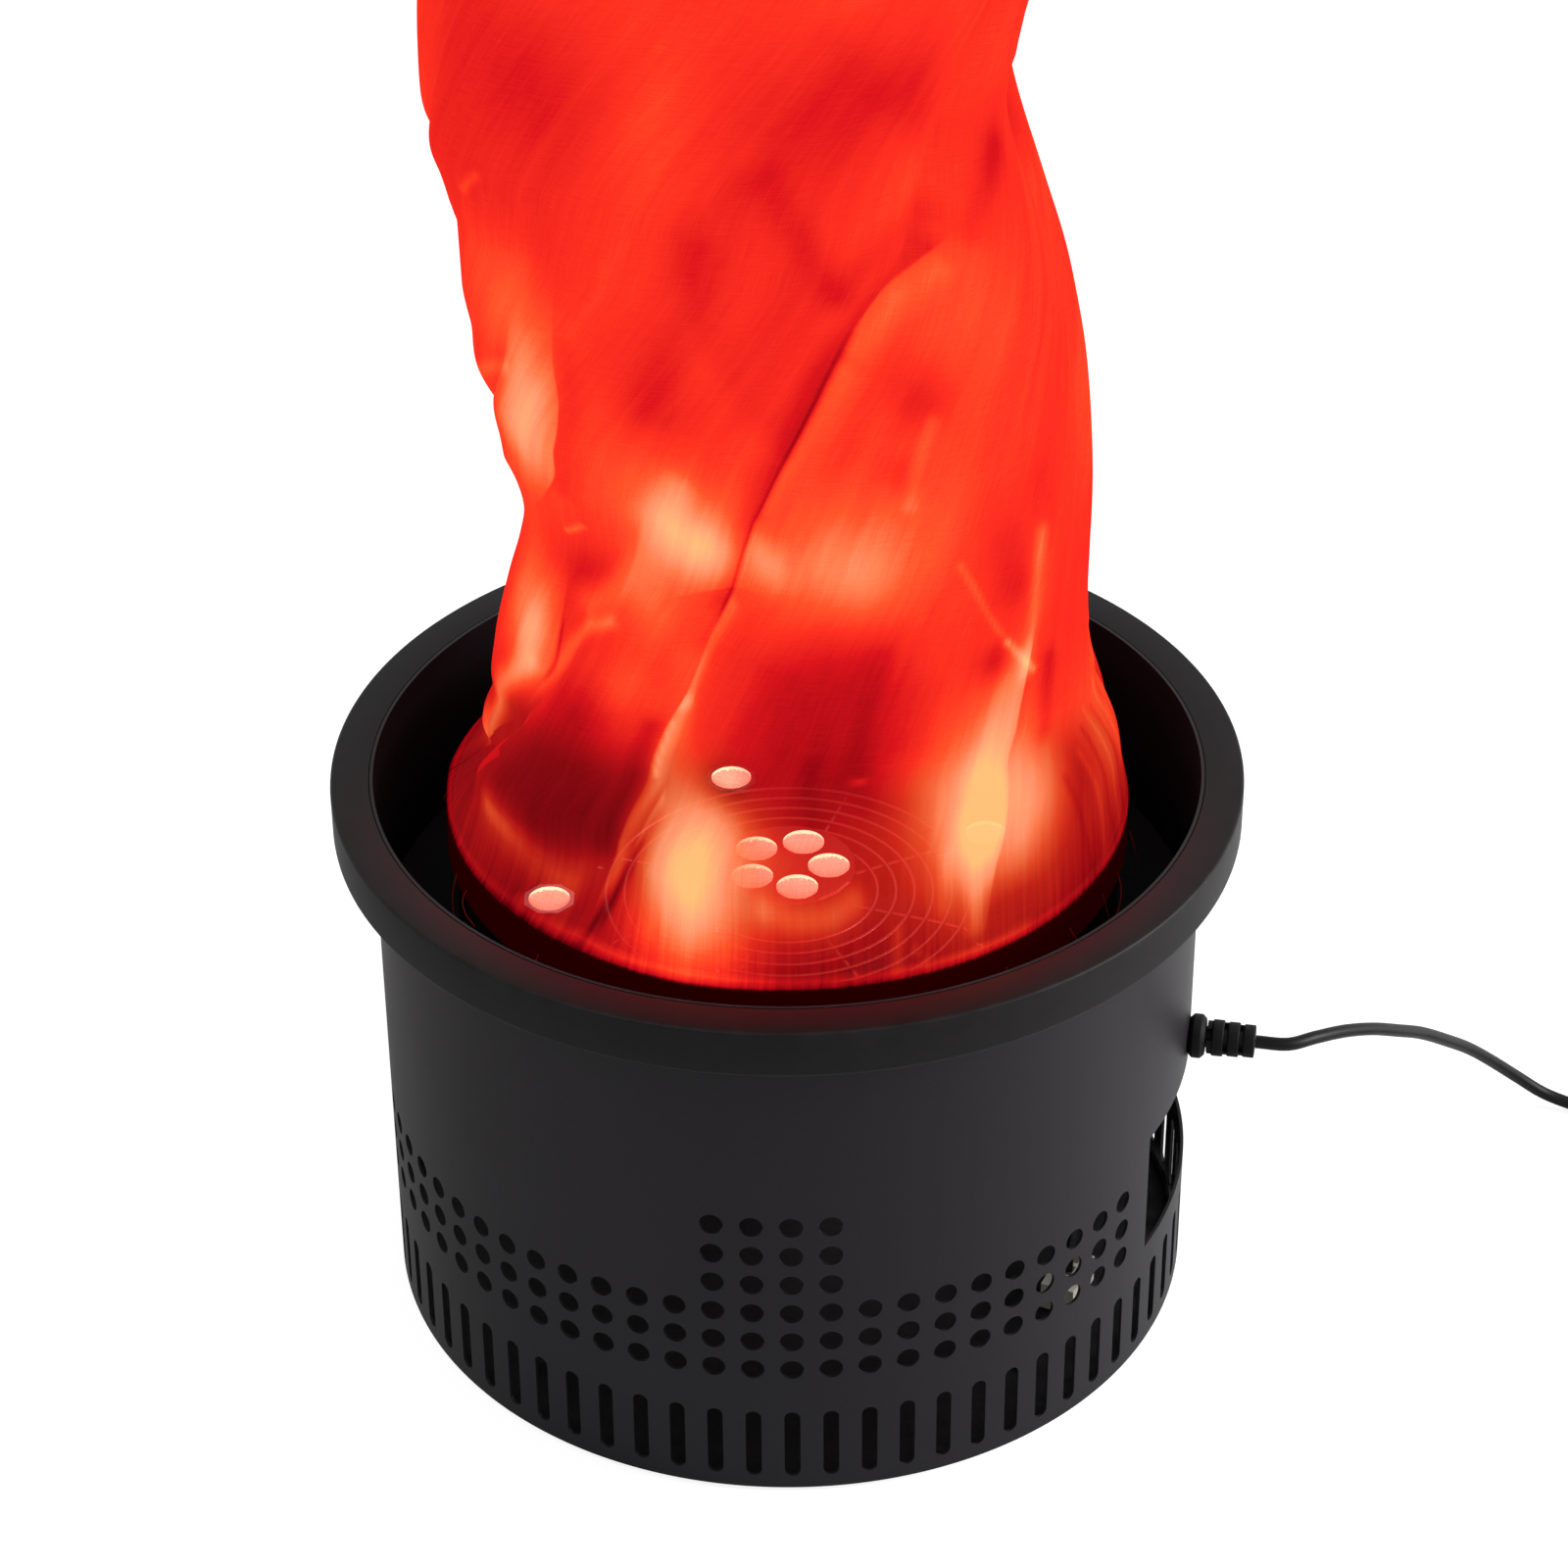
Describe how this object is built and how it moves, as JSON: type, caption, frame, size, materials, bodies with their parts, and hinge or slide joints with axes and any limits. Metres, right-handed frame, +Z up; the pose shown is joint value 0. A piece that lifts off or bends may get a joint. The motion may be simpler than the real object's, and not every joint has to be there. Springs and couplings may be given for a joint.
{
  "type": "silk flame effect light",
  "caption": "Perforated drum floor lamp: a fan under a wire guard blows a lit silk flame up from a collar inside a raised rim.",
  "frame": {"origin": "on the floor, under the fan's axis, at the underside of the rubber feet", "axes": "+Z up along the fan's axis, -Y to the front, +X to the side with the mains lead"},
  "size_m": [0.7895, 0.4296, 1.5],
  "materials": {
    "black_steel": "satin black powder coat",
    "deck_steel": "matt black paint",
    "black_plastic": "moulded matt",
    "black_rubber": "matt",
    "hook_tape": "hook and loop pile",
    "red_silk": "thin translucent red silk",
    "bright_wire": "bright plated wire",
    "cast_aluminium": "satin",
    "clear_lens": "moulded clear",
    "led_board": "white coated board",
    "motor_steel": "varnished winding",
    "bearing_steel": "ground",
    "case_steel": "plain",
    "screw_steel": "zinc plated",
    "white_plastic": "moulded",
    "pin_brass": "bright"
  },
  "bodies": {
    "housing": {"housing_wall": "black_steel", "rim_ring": "black_steel", "bottom_plate": "black_steel", "rubber_foot_1": "black_rubber", "rubber_foot_2": "black_rubber", "rubber_foot_3": "black_rubber", "rubber_foot_4": "black_rubber", "deck_plate": "deck_steel", "silk_collar": "deck_steel", "hook_loop_band": "hook_tape", "silk_flame": "red_silk", "fan_frame": "black_plastic", "motor_stator": "motor_steel", "motor_bearing_lower": "bearing_steel", "motor_bearing_upper": "bearing_steel", "fan_guard": "bright_wire", "guard_screw_1": "screw_steel", "guard_screw_2": "screw_steel", "guard_screw_3": "screw_steel", "guard_screw_4": "screw_steel", "cluster_base": "cast_aluminium", "cluster_board": "led_board", "cluster_cover": "cast_aluminium", "cluster_lens_1": "clear_lens", "cluster_lens_2": "clear_lens", "cluster_lens_3": "clear_lens", "cluster_lens_4": "clear_lens", "cluster_lens_5": "clear_lens", "lamp_holder_1": "cast_aluminium", "lamp_holder_2": "cast_aluminium", "lamp_holder_3": "cast_aluminium", "lamp_holder_4": "cast_aluminium", "lamp_holder_5": "cast_aluminium", "lamp_lens_1": "clear_lens", "lamp_lens_2": "clear_lens", "lamp_lens_3": "clear_lens", "lamp_lens_4": "clear_lens", "lamp_lens_5": "clear_lens", "lamp_board_1": "led_board", "lamp_board_2": "led_board", "lamp_board_3": "led_board", "lamp_board_4": "led_board", "lamp_board_5": "led_board", "power_supply": "case_steel", "supply_screw_1": "screw_steel", "supply_screw_2": "screw_steel", "terminal_block": "white_plastic", "inner_lead": "black_rubber", "gland_nut": "black_plastic", "strain_relief": "black_rubber", "cord": "black_rubber", "cord_coil": "black_rubber", "plug_body": "black_rubber", "plug_blade_left": "pin_brass", "plug_blade_right": "pin_brass", "plug_earth_pin": "pin_brass"},
    "rotor": {"fan_rotor": "black_plastic"}
  },
  "joints": [
    {"name": "fan_spin", "type": "hinge", "parent": "housing", "child": "rotor", "pos_m": [0, 0, 0.169], "axis": [0, 0, 1], "continuous": true}
  ]
}
